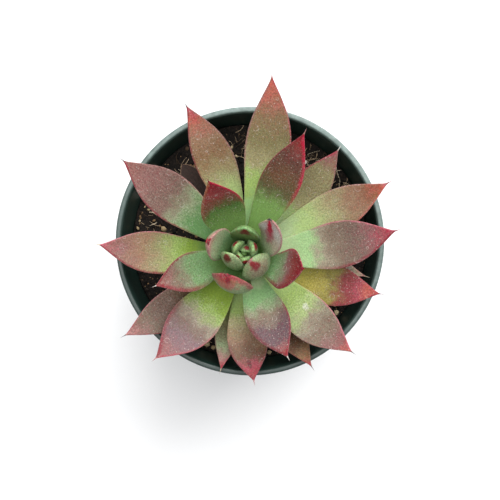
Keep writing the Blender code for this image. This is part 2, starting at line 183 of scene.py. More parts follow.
# One row for each leaf, oldest first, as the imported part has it: its azimuth at the stem and at
# the tip, the reach of the tip from the stem's axis, the height of the tip over the pot's foot,
# width, thickness and slope at the stem. `rise` lifts the edges over the midline, `roll` turns
# the leaf about its length, `bow` shifts its middle sideways, `full` keeps it wide nearer to the
# tip, and `belly` says how far it holds the slope that it starts with
Leaf = namedtuple(
    "Leaf", "foot_az tip_az reach tip_z width depth slope rise roll bow full belly", defaults=(0.45,)
)
LEAVES = (
    Leaf(258, 258.6, 56.0, 101.0, 14.0, 4.4, 12, 0.8, 25, 0.5, 1.0),
    Leaf(353, 349.1, 58.5, 99.0, 13.0, 4.2, 8, 0.8, 0, 0.5, 1.0),
    Leaf(299, 300.8, 62.0, 104.0, 17.0, 4.8, 16, 0.9, 0, 0.0, 1.0),
    Leaf(48, 47.7, 65.5, 104.5, 17.5, 4.8, 15, 0.9, 0, -3.0, 1.1),
    Leaf(216, 214.6, 67.5, 106.0, 18.0, 5.0, 16, 1.0, 0, 2.0, 1.1),
    Leaf(341, 343.4, 66.0, 108.0, 20.0, 5.0, 18, 1.0, 0, -2.0, 1.1),
    Leaf(108, 111.5, 73.5, 109.0, 18.5, 5.2, 16, 1.0, 0, -2.0, 1.1),
    Leaf(270, 274.5, 59.5, 109.0, 18.5, 5.2, 21, 1.0, 0, -0.5, 1.35),
    Leaf(27, 26.0, 74.0, 112.0, 19.5, 5.4, 18, 1.1, 0, -1.5, 1.1),
    Leaf(177, 176.6, 67.0, 112.0, 19.5, 5.4, 20, 1.1, 0, 2.2, 1.1),
    Leaf(316, 317.6, 67.5, 113.0, 20.5, 5.4, 21, 1.1, 0, -1.5, 1.1),
    Leaf(77, 81.1, 82.5, 114.0, 21.0, 5.6, 18, 1.1, 0, -2.0, 1.1),
    Leaf(232, 229.9, 62.5, 119.0, 22.5, 5.6, 25, 1.2, 0, 2.2, 1.1),
    Leaf(6, 8.5, 70.0, 118.5, 21.5, 5.6, 24, 1.2, 0, -2.0, 1.15),
    Leaf(142, 142.5, 69.0, 120.0, 22.5, 5.6, 25, 1.2, 0, 0.8, 1.1),
    Leaf(290, 293.0, 51.0, 122.0, 19.5, 5.4, 32, 1.3, 0, -1.0, 1.1),
    Leaf(62, 63.2, 60.5, 125.0, 18.5, 5.4, 33, 1.3, 0, 0.0, 1.05),
    Leaf(199, 200.4, 42.0, 127.0, 17.5, 5.2, 42, 1.5, 0, 0.0, 1.0),
    Leaf(335, 345.4, 27.3, 125.0, 19.5, 4.8, 41, 1.8, 0, -1.0, 1.7),
    Leaf(116, 116.1, 35.5, 130.0, 20.0, 5.0, 48, 1.8, 0, 0.0, 1.05),
    Leaf(251, 232.0, 11.8, 127.0, 20.0, 4.2, 30, 2.4, 0, 1.0, 1.5, 0.64),
    Leaf(9, 53.0, 18.8, 129.0, 15.0, 3.4, 48, 1.6, 66, 0.0, 1.6, 0.50),
    Leaf(159, 161.5, 16.4, 127.0, 15.5, 3.8, 56, 2.6, 0, 0.0, 1.5, 0.50),
    Leaf(314, 308.0, 4.0, 124.0, 16.5, 3.3, 37, 3.0, 0, 0.0, 1.6, 0.72),
    Leaf(80, 87.7, 11.2, 124.0, 14.0, 3.4, 66, 2.4, 0, 0.0, 1.5),
    Leaf(243, 177.0, 7.6, 122.0, 11.0, 2.7, 48, 1.8, 0, 0.0, 1.3, 0.52),
)
DRY_LEAF_FOOT_HEIGHT = 79.5
DRY_LEAF = Leaf(124, 125.0, 52.0, 84.0, 14.0, 1.2, 4, 1.0, 0, 0.0, 1.4)

HEART_FOOT_HEIGHT = 104.8
HEART_CORE_RADIUS = 3.2
HEART_CORE_TOP_RADIUS = 0.9
HEART_CORE_HEIGHT = 9.0
HEART_LEAF_FOOT = 2.2
HEART_ROWS = 40
HEART_COLUMNS = 17
HEART_LEAVES = (
    Leaf(140, 131.0, 4.8, 118.5, 7.6, 2.6, 62, 1.2, 0, 0.0, 1.7, 0.50),
    Leaf(12, 38.0, 5.2, 119.0, 8.6, 2.6, 58, 1.2, 0, 0.0, 1.7, 0.50),
    Leaf(284, 278.0, 2.8, 118.0, 6.2, 2.4, 60, 1.0, 0, 0.0, 1.7, 0.50),
    Leaf(222, 205.0, 2.0, 117.0, 5.4, 2.2, 64, 0.8, 0, 0.0, 1.7, 0.50),
    Leaf(80, 30.0, 1.6, 116.5, 5.4, 2.2, 66, 0.8, 0, 0.0, 1.7, 0.50),
)

# Colours as they look in soft daylight, red, green and blue from 0 to 255
PALETTE = {
    "deep_green": (88, 128, 62),
    "green": (122, 156, 88),
    "yellow_green": (142, 168, 72),
    "lime": (160, 184, 106),
    "pale_lime": (178, 200, 132),
    "jade": (164, 200, 140),
    "pale_jade": (186, 204, 158),
    "glaucous": (134, 172, 118),
    "deep_glaucous": (104, 142, 90),
    "sage": (146, 156, 122),
    "olive": (138, 130, 84),
    "dark_olive": (96, 94, 58),
    "khaki": (164, 156, 112),
    "straw": (184, 176, 130),
    "ochre": (166, 156, 82),
    "gold": (204, 190, 100),
    "cocoa": (130, 106, 94),
    "old_rose": (152, 102, 102),
    "tan": (150, 118, 84),
    "sand": (170, 134, 106),
    "rust": (158, 104, 78),
    "umber": (84, 64, 38),
    "bronze": (120, 86, 60),
    "taupe": (138, 120, 102),
    "ash": (162, 152, 130),
    "mauve": (158, 114, 108),
    "dusk": (134, 106, 112),
    "plum": (112, 86, 92),
    "maroon": (106, 66, 54),
    "dark_crimson": (112, 28, 38),
    "crimson": (140, 44, 58),
    "scarlet": (212, 54, 84),
    "brick": (152, 66, 66),
    "rose": (182, 84, 98),
    "pink": (210, 120, 134),
    "coral": (204, 116, 106),
    "blush": (198, 150, 146),
    "cream": (226, 212, 184),
    "white": (238, 234, 226),
    "spine_grey": (92, 84, 84),
}

# How each leaf is coloured, in the order of LEAVES: its shades from foot to tip, the colours and
# widths of its margins on the side that turns anticlockwise and on the other, where they begin,
# how much dried hard water lies on it, and the colour of its end spine
Look = namedtuple("Look", "shades left left_wide right right_wide start dust spine")
LOOKS = (
    Look(((0.35, "lime"), (0.62, "khaki"), (0.78, "pale_jade"), (0.88, "blush"), (1.0, "rose")),
         "rose", 0.5, "mauve", 0.4, 0.55, 0.5, "cream"),
    Look(((0.5, "cream"), (0.8, "white"), (0.9, "cream"), (1.0, "pink")),
         "blush", 0.3, "blush", 0.3, 0.5, 0.3, "cream"),
    # Leaf 3: its umber and bronze are partly its own colour and partly painted shadow, where leaf 11
    # shades it
    Look(((0.6, "umber"), (0.78, "bronze"), (0.88, "tan"), (1.0, "rose")),
         "tan", 0.3, "brick", 0.4, 0.6, 0.6, "spine_grey"),
    Look(((0.25, "pale_jade"), (0.42, "pale_lime"), (0.5, "straw"), (0.62, "khaki"), (0.8, "khaki"),
          (0.9, "mauve"), (1.0, "pink")),
         "rose", 0.8, "mauve", 0.6, 0.55, 1.0, "white"),
    Look(((0.45, "umber"), (0.62, "cocoa"), (0.72, "cocoa"), (0.8, "taupe"), (0.9, "mauve"),
          (1.0, "blush")),
         "crimson", 0.4, "rose", 0.5, 0.6, 0.8, "spine_grey"),
    Look(((0.54, "gold"), (0.64, "ochre"), (0.7, "rust"), (0.75, "brick"), (0.84, "rose"),
          (0.93, "coral"), (1.0, "rose")),
         "rose", 0.5, "crimson", 0.6, 0.6, 0.9, "dusk"),
    Look(((0.35, "pale_lime"), (0.5, "khaki"), (0.64, "tan"), (0.78, "sand"), (0.9, "coral"),
          (1.0, "pink")),
         "crimson", 0.7, "mauve", 0.7, 0.45, 1.0, "spine_grey"),
    Look(((0.25, "pale_lime"), (0.4, "lime"), (0.5, "straw"), (0.66, "sand"), (0.78, "bronze"),
          (0.88, "rose"), (1.0, "brick")),
         "crimson", 0.6, "crimson", 1.2, 0.7, 1.0, "rose"),
    Look(((0.22, "pale_jade"), (0.42, "pale_lime"), (0.6, "straw"), (0.75, "sand"), (0.87, "rust"),
          (0.95, "coral"), (1.0, "pink")),
         "blush", 0.4, "coral", 0.9, 0.6, 0.6, "crimson"),
    Look(((0.2, "green"), (0.32, "yellow_green"), (0.45, "lime"), (0.58, "khaki"), (0.7, "sand"),
          (0.85, "mauve"), (1.0, "pink")),
         "crimson", 1.0, "pink", 0.4, 0.35, 0.8, "cream"),
    Look(((0.25, "pale_lime"), (0.42, "lime"), (0.54, "pale_lime"), (0.64, "ash"), (0.75, "taupe"),
          (0.88, "old_rose"), (1.0, "coral")),
         "pink", 0.6, "mauve", 0.4, 0.5, 0.8, "spine_grey"),
    Look(((0.2, "jade"), (0.32, "lime"), (0.42, "lime"), (0.52, "khaki"), (0.65, "olive"), (0.78, "tan"),
          (0.92, "coral")),
         "mauve", 0.8, "rose", 0.6, 0.4, 0.9, "blush"),
    Look(((0.38, "yellow_green"), (0.47, "lime"), (0.57, "ash"), (0.66, "cocoa"),
          (0.76, "dusk"), (0.88, "old_rose"), (1.0, "mauve")),
         "rose", 0.9, "crimson", 2.0, 0.55, 1.0, "blush"),
    Look(((0.2, "pale_jade"), (0.4, "jade"), (0.5, "ash"), (0.6, "taupe"), (0.72, "cocoa"),
          (0.84, "old_rose"), (0.93, "rose"), (1.0, "crimson")),
         "pink", 0.7, "crimson", 1.3, 0.5, 0.8, "crimson"),
    Look(((0.36, "deep_glaucous"), (0.48, "sage"), (0.6, "cocoa"), (0.82, "mauve"), (0.93, "mauve"),
          (1.0, "pink")),
         "crimson", 0.9, "mauve", 0.6, 0.35, 0.9, "spine_grey"),
    Look(((0.18, "pale_jade"), (0.3, "glaucous"), (0.42, "glaucous"), (0.49, "sage"), (0.56, "taupe"),
          (0.7, "plum"), (0.82, "plum"), (0.92, "old_rose"), (1.0, "brick")),
         "crimson", 1.0, "dark_crimson", 1.8, 0.5, 1.0, "white"),
    Look(((0.38, "green"), (0.52, "dark_olive"), (0.64, "bronze"), (0.78, "maroon"),
          (0.92, "brick"), (1.0, "crimson")),
         "crimson", 0.6, "scarlet", 1.6, 0.5, 0.8, "blush"),
    Look(((0.2, "green"), (0.4, "glaucous"), (0.55, "glaucous"), (0.64, "sage"),
          (0.75, "taupe"), (0.86, "mauve")),
         "crimson", 2.2, "crimson", 1.0, 0.45, 0.8, "white"),
    Look(((0.2, "green"), (0.45, "glaucous"), (0.6, "sage"), (0.69, "old_rose"),
          (0.8, "brick"), (1.0, "crimson")),
         "rose", 1.0, "crimson", 2.0, 0.4, 1.0, "crimson"),
    Look(((0.4, "green"), (0.6, "deep_green"), (0.68, "bronze"), (0.8, "brick"),
          (0.92, "crimson")),
         "rust", 1.6, "scarlet", 1.1, 0.6, 0.8, "dark_crimson"),
    Look(((0.1, "deep_green"), (0.5, "glaucous"), (0.85, "pale_jade"), (1.0, "rose")),
         "rose", 1.6, "rose", 2.2, 0.35, 0.5, "crimson"),
    Look(((0.2, "deep_green"), (0.4, "pale_jade"), (0.6, "cream"), (0.85, "white"), (1.0, "blush")),
         "cream", 0.8, "blush", 1.0, 0.3, 0.3, "spine_grey"),
    Look(((0.2, "deep_green"), (0.5, "glaucous"), (0.8, "pale_jade"), (1.0, "blush")),
         "blush", 0.6, "blush", 0.6, 0.3, 0.2, "crimson"),
    Look(((0.2, "deep_green"), (0.5, "glaucous"), (0.8, "pale_jade"), (1.0, "sage")),
         "glaucous", 0.4, "glaucous", 0.4, 0.3, 0.4, "mauve"),
    # Leaf 25: the deep green up to its middle is partly its own colour and partly painted shade on its
    # inner face
    Look(((0.6, "deep_green"), (0.85, "green"), (1.0, "glaucous")),
         "glaucous", 0.4, "glaucous", 0.4, 0.3, 0.2, "glaucous"),
    Look(((0.2, "green"), (0.5, "jade"), (0.85, "pale_jade")),
         "pale_jade", 0.4, "pale_jade", 0.4, 0.3, 0.2, "jade"),
)
HEART_LOOK = Look(
    ((0.2, "deep_green"), (0.6, "green"), (0.85, "jade")),
    "jade", 0.3, "jade", 0.3, 0.2, 0.1, "jade",
)

# Marks on single leaves: the face (0 upper, 1 under, 0.5 both), the place, its size as shares of
# the length and of the half width, the colour and how strong it is
Mark = namedtuple("Mark", "face along across long wide colour strength")
MARKS = {
    8: (Mark(0, 0.86, -0.1, 0.035, 0.2, "dark_crimson", 0.95),),
    11: (Mark(0, 0.54, 0.3, 0.03, 0.16, "white", 0.5),),
    16: (Mark(0, 0.62, 0.1, 0.1, 0.5, "ash", 0.35),),
    21: (Mark(1, 0.88, -0.15, 0.13, 0.9, "scarlet", 0.6),
         Mark(1, 0.94, 0.15, 0.06, 0.3, "crimson", 0.8)),
    22: (Mark(0.5, 0.76, 0.05, 0.3, 0.4, "pink", 0.8),
         Mark(0.5, 0.86, 0.05, 0.18, 0.24, "scarlet", 0.95)),
    23: (Mark(1, 0.8, 0.6, 0.2, 0.6, "pink", 0.5),
         Mark(1, 0.95, 0.0, 0.11, 0.5, "scarlet", 0.95)),
    24: (Mark(1, 0.8, 0.0, 0.2, 0.8, "mauve", 0.5),
         Mark(1, 0.93, 0.0, 0.12, 0.45, "crimson", 0.9)),
    25: (Mark(0, 0.92, 0.0, 0.12, 0.6, "dark_crimson", 0.95),),
    26: (Mark(1, 0.94, 0.0, 0.13, 0.55, "dark_crimson", 0.95),),
}
HEART_MARKS = (Mark(1, 0.92, 0.0, 0.13, 0.7, "crimson", 0.95),)

# How bright the palette looks on leaves in this scene's light, at their feet and further out
LEAF_TONE_AT_FOOT = 0.88
LEAF_TONE = 0.55

# Colours as Blender's linear numbers
CHALK = (0.55, 0.50, 0.44, 1.0)
POT_GREEN = (0.014, 0.034, 0.027, 1.0)
POT_GREEN_DARK = (0.009, 0.024, 0.019, 1.0)
# Pale colour of the painted highlight on the pot's lip
POT_LIP_HIGHLIGHT = (0.24, 0.32, 0.295, 1.0)
PEAT_BLACK = (0.004, 0.0032, 0.0028, 1.0)
PEAT_BROWN = (0.026, 0.018, 0.013, 1.0)
PEAT_RED = (0.034, 0.017, 0.011, 1.0)
GRIT_DARK = (0.46, 0.34, 0.18, 1.0)
GRIT_LIGHT = (0.74, 0.6, 0.38, 1.0)
FIBRE_DARK = (0.05, 0.03, 0.018, 1.0)
FIBRE_LIGHT = (0.62, 0.46, 0.3, 1.0)

# Stage: places and sizes in metres, power in watts
FLOOR_SIZE = 6.0
FLOOR_DARK = (0.86, 0.86, 0.86, 1.0)
FLOOR_LIGHT = (0.9, 0.9, 0.9, 1.0)
SKY_COLOUR = (0.97, 0.98, 1.0, 1.0)
SKY_STRENGTH = 0.55
LAMP_AIM = Vector((0.0, 0.0, 0.09))
Lamp = namedtuple("Lamp", "name place size power")
LAMPS = (
    Lamp("window", (0.4, 0.9, 0.95), 1.3, 28.0),
    Lamp("overhead", (-0.15, 0.1, 1.3), 0.9, 9.0),
)


def colour_of(name, share=1.0):
    """A palette colour as Blender's linear numbers, times a share."""
    linear = []
    for value in PALETTE[name]:
        c = value / 255
        linear.append(share * (c / 12.92 if c <= 0.04045 else ((c + 0.055) / 1.055) ** 2.4))
    return (*linear, 1.0)


class Paint:
    """A material, with short calls for the nodes that its pattern is made of."""

    def __init__(self, name):
        self.material = bpy.data.materials.new(name)
        self.material.use_nodes = True
        self.tree = self.material.node_tree
        self.shader = self.tree.nodes["Principled BSDF"]

    def node(self, kind, **settings):
        node = self.tree.nodes.new("ShaderNode" + kind)
        for key, value in settings.items():
            setattr(node, key, value)
        return node

    def feed(self, source, target):
        """Links a socket to its source, or sets it to a plain value."""
        if isinstance(source, bpy.types.NodeSocket):
            self.tree.links.new(source, target)
        else:
            target.default_value = source

    def maths(self, operation, first, second=0.0):
        node = self.node("Math", operation=operation)
        self.feed(first, node.inputs[0])
        self.feed(second, node.inputs[1])
        return node.outputs[0]

    def add(self, first, second):
        return self.maths("ADD", first, second)

    def times(self, first, second):
        return self.maths("MULTIPLY", first, second)

    def step(self, value, low, high, at_low=0.0, at_high=1.0):
        """A soft step from one value to another while `value` goes from low to high."""
        node = self.node("MapRange", interpolation_type="SMOOTHSTEP")
        for source, name in (
            (value, "Value"), (low, "From Min"), (high, "From Max"),
            (at_low, "To Min"), (at_high, "To Max"),
        ):
            self.feed(source, node.inputs[name])
        return node.outputs[0]

    def mix(self, share, under, over):
        node = self.node("Mix", data_type="RGBA")
        self.feed(share, node.inputs[0])
        self.feed(under, node.inputs[6])
        self.feed(over, node.inputs[7])
        return node.outputs[2]

    def shade(self, colour, value, saturation=1.0):
        """The colour made lighter or darker, and more or less strong."""
        node = self.node("HueSaturation")
        self.feed(value, node.inputs["Value"])
        self.feed(saturation, node.inputs["Saturation"])
        self.feed(colour, node.inputs["Color"])
        return node.outputs[0]

    def ramp(self, value, stops):
        """Colours along a value, from (place, palette name) pairs."""
        node = self.node("ValToRGB")
        band = node.color_ramp
        band.elements.remove(band.elements[1])
        band.elements[0].position = stops[0][0]
        band.elements[0].color = colour_of(stops[0][1])
        for place, name in stops[1:]:
            band.elements.new(place).color = colour_of(name)
        self.feed(value, node.inputs[0])
        return node.outputs[0]

    def attribute(self, name):
        return self.node("Attribute", attribute_name=name).outputs["Vector"]

    def place_in_mm(self):
        """The place in the part's frame, in millimetres."""
        coordinates = self.node("TexCoord").outputs["Object"]
        node = self.node("VectorMath", operation="SCALE")
        self.feed(coordinates, node.inputs[0])
        self.feed(1 / MM, node.inputs["Scale"])
        return node.outputs[0]

    def split(self, vector):
        node = self.node("SeparateXYZ")
        self.feed(vector, node.inputs[0])
        return node.outputs[0], node.outputs[1], node.outputs[2]

    def stretch(self, vector, factors):
        node = self.node("VectorMath", operation="MULTIPLY")
        self.feed(vector, node.inputs[0])
        self.feed(factors, node.inputs[1])
        return node.outputs[0]

    def noise(self, vector, scale, detail=2.0, roughness=0.5, flat=False):
        node = self.node("TexNoise", noise_dimensions="2D" if flat else "3D")
        self.feed(vector, node.inputs["Vector"])
        self.feed(scale, node.inputs["Scale"])
        self.feed(detail, node.inputs["Detail"])
        self.feed(roughness, node.inputs["Roughness"])
        return node.outputs["Fac"]

    def cells(self, vector, scale, flat=False):
        """Distance to the nearest of many scattered points, in cells, and three random numbers of it."""
        node = self.node("TexVoronoi", voronoi_dimensions="2D" if flat else "3D")
        self.feed(vector, node.inputs["Vector"])
        self.feed(scale, node.inputs["Scale"])
        return node.outputs["Distance"], self.split(node.outputs["Color"])

    def bump(self, height, depth_mm, strength=1.0):
        node = self.node("Bump")
        self.feed(height, node.inputs["Height"])
        self.feed(depth_mm * MM, node.inputs["Distance"])
        self.feed(strength, node.inputs["Strength"])
        self.feed(node.outputs[0], self.shader.inputs["Normal"])

    def finish(self, colour, roughness, **constants):
        self.feed(colour, self.shader.inputs["Base Color"])
        self.feed(roughness, self.shader.inputs["Roughness"])
        for name, value in constants.items():
            self.shader.inputs[name.replace("_", " ")].default_value = value
        return self.material


def leaf_material(name, look, marks=(), plump=0.0):
    """A leaf's skin, whose pattern follows the attributes that leaf_shape gives to each point."""
    paint = Paint(name)
    place = paint.split(paint.attribute("place"))
    along = place[0]
    sheet = paint.attribute("sheet")
    rim = paint.split(sheet)[2]
    fleck = paint.noise(sheet, 1.3, 5.0, 0.7, flat=True)
    patch = paint.noise(sheet, 0.45, 3.0, 0.6, flat=True)
    streak = paint.noise(paint.stretch(sheet, (2.2, 0.18, 0.0)), 1.0, 2.0, 0.5, flat=True)

    colour = leaf_shades(paint, look, sheet, along, fleck, patch)
    colour = leaf_back(paint, colour, place, plump)
    for mark in marks:
        colour = add_mark(paint, colour, mark, place, patch)
    colour = leaf_margins(paint, colour, look, place, rim, patch)
    colour = leaf_edge(paint, colour, along, rim, streak, plump, look.spine)
    colour = leaf_freckles(paint, colour, sheet, along)
    colour = leaf_tone(paint, colour, along, fleck, streak)
    chalk, height = water_marks(paint, sheet, patch, along, look.dust)
    colour = paint.mix(chalk, colour, CHALK)

    relief = paint.add(paint.times(fleck, 0.35), paint.times(height, 0.8))
    relief = paint.add(relief, paint.times(streak, 0.3))
    paint.bump(relief, 0.12, 0.6)
    roughness = paint.add(paint.step(fleck, 0.3, 0.7, 0.42, 0.52), paint.times(chalk, 0.3))
    return paint.finish(
        colour, roughness,
        Subsurface_Weight=0.05, Subsurface_Scale=0.0015,
        Specular_IOR_Level=0.3, Sheen_Weight=0.03, Sheen_Roughness=0.4,
    )


def leaf_shades(paint, look, sheet, along, fleck, patch):
    """The shades from foot to tip, with uneven borders and a red flush in places."""
    cloud = paint.noise(sheet, 0.16, 3.0, 0.6, flat=True)
    drift = paint.step(cloud, 0.3, 0.7, -0.035, 0.035)
    drift = paint.add(drift, paint.step(fleck, 0.3, 0.7, -0.015, 0.015))
    colour = paint.ramp(paint.add(along, drift), look.shades)
    flush = paint.times(paint.step(patch, 0.5, 0.75), paint.step(along, 0.45, 0.8, 0.0, 0.2))
    return paint.mix(flush, colour, colour_of("brick"))


def leaf_back(paint, colour, place, plump):
    """The back of a leaf is paler, with a red line along its keel near the tip."""
    along, across, under = place
    back = paint.step(under, 0.4, 0.9, 0.0, 0.35)
    colour = paint.mix(back, colour, colour_of("glaucous"))
    keel = paint.times(paint.step(paint.maths("ABSOLUTE", across), 0.16, 0.05), under)
    keel = paint.times(keel, paint.step(along, 0.62, 0.85, 0.0, 0.8 * (1 - plump)))
    return paint.mix(keel, colour, colour_of("crimson"))


def leaf_margins(paint, colour, look, place, rim, patch):
    """A coloured band along each margin, with a soft inner side."""
    along, across, _ = place
    is_left = paint.step(across, -0.1, 0.1)
    width = paint.step(is_left, 0.0, 1.0, look.right_wide, look.left_wide)
    ragged = paint.add(rim, paint.step(patch, 0.3, 0.7, -0.3, 0.3))
    band = paint.step(paint.maths("DIVIDE", ragged, width), 1.4, 0.35)
    reach = paint.step(along, look.start - 0.15, look.start + 0.2, 0.0, 0.8)
    margin = paint.mix(is_left, colour_of(look.right), colour_of(look.left))
    return paint.mix(paint.times(band, reach), colour, margin)


def leaf_edge(paint, colour, along, rim, streak, plump, spine):
    """A thin pale line on the very edge, and the end spine."""
    line = paint.step(rim, 0.28, 0.08, 0.0, 0.35 * (1 - plump))
    line = paint.times(line, paint.step(streak, 0.3, 0.7, 0.3, 1.0))
    colour = paint.mix(line, colour, colour_of("blush"))
    return paint.mix(paint.step(along, 0.975, 0.99), colour, colour_of(spine))


def leaf_freckles(paint, colour, sheet, along):
    """Red and grey freckles on the outer half."""
    freckle = paint.noise(sheet, 0.9, 4.0, 0.75, flat=True)
    outer = paint.step(along, 0.35, 0.65)
    red = paint.times(paint.step(freckle, 0.52, 0.7, 0.0, 0.35), outer)
    grey = paint.times(paint.step(freckle, 0.46, 0.3, 0.0, 0.35), outer)
    colour = paint.mix(red, colour, colour_of("brick"))
    return paint.mix(grey, colour, colour_of("ash"))


def leaf_tone(paint, colour, along, fleck, streak):
    """Mottled light and dark, and the tone that the palette needs in this light."""
    mottle = paint.times(
        paint.step(fleck, 0.25, 0.75, -1.0, 1.0),
        paint.step(along, 0.2, 0.5, 0.1, 0.38),
    )
    tone = paint.step(along, 0.2, 0.7, LEAF_TONE_AT_FOOT, LEAF_TONE)
    tone = paint.times(tone, paint.step(along, 0.8, 1.0, 1.0, 1.08))
    tone = paint.times(tone, paint.step(streak, 0.3, 0.7, 0.95, 1.05))
    value = paint.times(paint.add(mottle, 1.0), tone)
    return paint.shade(colour, value, paint.step(along, 0.8, 0.95, 1.04, 1.15))


def add_mark(paint, colour, mark, place, patch):
    """One oval mark with a ragged border."""
    along, across, under = place
    away = paint.maths("DIVIDE", paint.add(along, -mark.along), mark.long)
    aside = paint.maths("DIVIDE", paint.add(across, -mark.across), mark.wide)
    distance = paint.maths("SQRT", paint.add(paint.times(away, away), paint.times(aside, aside)))
    distance = paint.add(distance, paint.step(patch, 0.3, 0.7, -0.2, 0.2))
    share = paint.step(distance, 1.15, 0.55, 0.0, mark.strength)
    if mark.face != 0.5:
        share = paint.times(share, paint.step(under, 0.35, 0.65, 1.0 - mark.face, float(mark.face)))
    return paint.mix(share, colour, colour_of(mark.colour))


def water_marks(paint, sheet, patch, along, dust):
    """Dried hard water as fine specks, coarser grains and ring-shaped stains.

    Gives how chalky each place is, and the height of the crust there.
    """
    distance, (pick, size, _) = paint.cells(sheet, 1.9, flat=True)
    speck = paint.times(paint.step(pick, 0.6, 0.62), paint.step(distance, 0.36, 0.1))
    speck = paint.times(speck, paint.step(size, 0.0, 1.0, 0.05, 0.9))
    distance, (pick, size, _) = paint.cells(sheet, 0.7, flat=True)
    grain = paint.times(paint.step(pick, 0.9, 0.92), paint.step(distance, 0.22, 0.08))
    distance, (pick, size, _) = paint.cells(sheet, 0.23, flat=True)
    radius = paint.step(size, 0.0, 1.0, 0.14, 0.34)
    wobble = paint.step(patch, 0.3, 0.7, -0.05, 0.05)
    off = paint.maths("ABSOLUTE", paint.add(paint.add(distance, wobble), paint.times(radius, -1.0)))
    ring = paint.times(paint.step(pick, 0.74, 0.76), paint.step(off, 0.07, 0.015))
    ring = paint.times(ring, paint.step(patch, 0.4, 0.6, 0.1, 1.0))
    total = paint.add(paint.times(speck, 0.42), paint.times(grain, 0.5))
    total = paint.add(total, paint.times(ring, 0.3))
    total = paint.times(total, paint.step(along, 0.2, 0.5, 0.25, 1.0))
    return paint.times(total, dust), paint.add(speck, paint.add(grain, ring))


def smooth_value(points, places):
    """Heights at many places of a smooth line through the points, with cubic spans."""
    xs, ys = np.array(points).T
    slopes = np.empty_like(ys)
    slopes[1:-1] = (ys[2:] - ys[:-2]) / (xs[2:] - xs[:-2])
    slopes[0] = (ys[1] - ys[0]) / (xs[1] - xs[0])
    slopes[-1] = (ys[-1] - ys[-2]) / (xs[-1] - xs[-2])
    span = np.clip(np.searchsorted(xs, places, side="left") - 1, 0, len(xs) - 2)
    width = xs[span + 1] - xs[span]
    u = np.clip((places - xs[span]) / width, 0.0, 1.0)
    rise = ys[span + 1] - ys[span]
    start = slopes[span] * width
    end = slopes[span + 1] * width
    square = 3 * rise - 2 * start - end
    cube = start + end - 2 * rise
    return ys[span] + u * start + u ** 2 * square + u ** 3 * cube


def unit(vectors):
    return vectors / np.linalg.norm(vectors, axis=-1, keepdims=True)


def direction(azimuth):
    angle = math.radians(azimuth)
    return np.array((math.cos(angle), math.sin(angle), 0.0))


def stem_radius(height):
    heights, radii = np.array(STEM_PROFILE)[::-1].T
    return float(np.interp(height, heights, radii))


def leaf_line(leaf, foot_height, foot_radius):
    """The three points that steer a leaf's upper midline."""
    axis = np.array((STEM_X, STEM_Y, 0.0))
    up = np.array((0.0, 0.0, 1.0))
    outward = direction(leaf.foot_az)
    foot = axis + outward * foot_radius + up * foot_height
    tip = axis + direction(leaf.tip_az) * leaf.reach + up * leaf.tip_z
    slope = math.radians(leaf.slope)
    start = outward * math.cos(slope) + up * math.sin(slope)
    bend = foot + start * np.linalg.norm(tip - foot) * leaf.belly
    return foot, bend + direction(leaf.foot_az + 90) * 2 * leaf.bow, tip


def leaf_frames(line, leaf, t):
    """Points and their sideways and upward directions at shares t of a leaf's length."""
    foot, bend, tip = line
    t = t[:, None]
    points = foot * (1 - t) ** 2 + bend * 2 * t * (1 - t) + tip * t * t
    along = unit((bend - foot) * (1 - t) + (tip - bend) * t)
    side = direction(leaf.foot_az + 90)
    side = unit(side - along * (along @ side)[:, None])
    angle = np.radians(leaf.roll) * t * t
    side = side * np.cos(angle) + np.cross(along, side) * np.sin(angle)
    return points, side, np.cross(along, side)


def ripple(point):
    place = Vector(point) / LEAF_RIPPLE_SIZE
    return LEAF_RIPPLE * (noise.noise(place) + 0.4 * noise.noise(place * 2.7))


def leaf_shape(leaf, line, rows=LEAF_ROWS, columns=LEAF_COLUMNS, wrinkle=1.0,
               plump=0.0, swell=1.0, blunt=0.0, trim=0.0):
    """A leaf's points and pattern places, in rings that have its upper face first.

    plump is its share of the young leaves' form, blunt of that form's wide tip alone, wrinkle and
    swell are factors for its ripple and its size, and trim is what its anticlockwise half lacks.
    """
    t = (1 - (1 - np.linspace(0.0, 1.0, rows)) ** LEAF_ROW_CROWDING) * LEAF_LAST_ROW
    points, sides, ups = leaf_frames(line, leaf, t)
    slim = smooth_value(LEAF_WIDTHS, t ** leaf.full)
    blunt = max(blunt, plump)
    share = slim * (1 - blunt) + smooth_value(PLUMP_WIDTHS, t) * blunt
    half = swell * leaf.width / 2 * share
    depths = smooth_value(LEAF_DEPTHS, t) * (1 - plump) + smooth_value(PLUMP_DEPTHS, t) * plump
    thick = swell * leaf.depth * depths
    lift = PLUMP_LIFT * plump * thick
    edge = np.minimum(LEAF_EDGE, thick) * (1 - plump) + PLUMP_EDGE * thick * plump
    length = np.concatenate(([0.0], np.cumsum(np.linalg.norm(np.diff(points, axis=0), axis=1))))
    upper = np.sin(np.linspace(-math.pi / 2, math.pi / 2, columns))
    ring = np.concatenate((upper, upper[-2:0:-1]))
    is_under = np.concatenate((np.zeros(columns), np.ones(columns - 2)))
    is_under[[0, columns - 1]] = 0.5
    roundness = LEAF_ROUNDNESS * (1 - plump) + PLUMP_ROUNDNESS * plump
    verts = []
    place = []
    sheet = []
    for row in range(rows):
        for a, under in zip(ring, is_under):
            round_off = 1 - math.sqrt(max(1 - abs(a) ** roundness, 0.0))
            height = leaf.rise * share[row] * a * a * (1 - 0.7 * plump)
            depth = edge[row] + (thick[row] - edge[row]) * (1 - abs(a) ** LEAF_UNDERSIDE_POWER)
            drop = edge[row] / 2 * round_off if under < 0.6 else depth - edge[row] / 2 * round_off
            aside = half[row] * a * (1 - trim if a > 0 else 1)
            base = points[row] + sides[row] * aside
            wave = wrinkle * ripple(base) * (0.3 + a * a) * math.sin(math.pi * min(t[row] * 1.05, 1.0))
            verts.append(base + ups[row] * (height - drop + wave + lift[row]))
            place.append((t[row], a, under))
            sheet.append((half[row] * a, length[row], half[row] * (1 - abs(a))))
    return verts, place, sheet


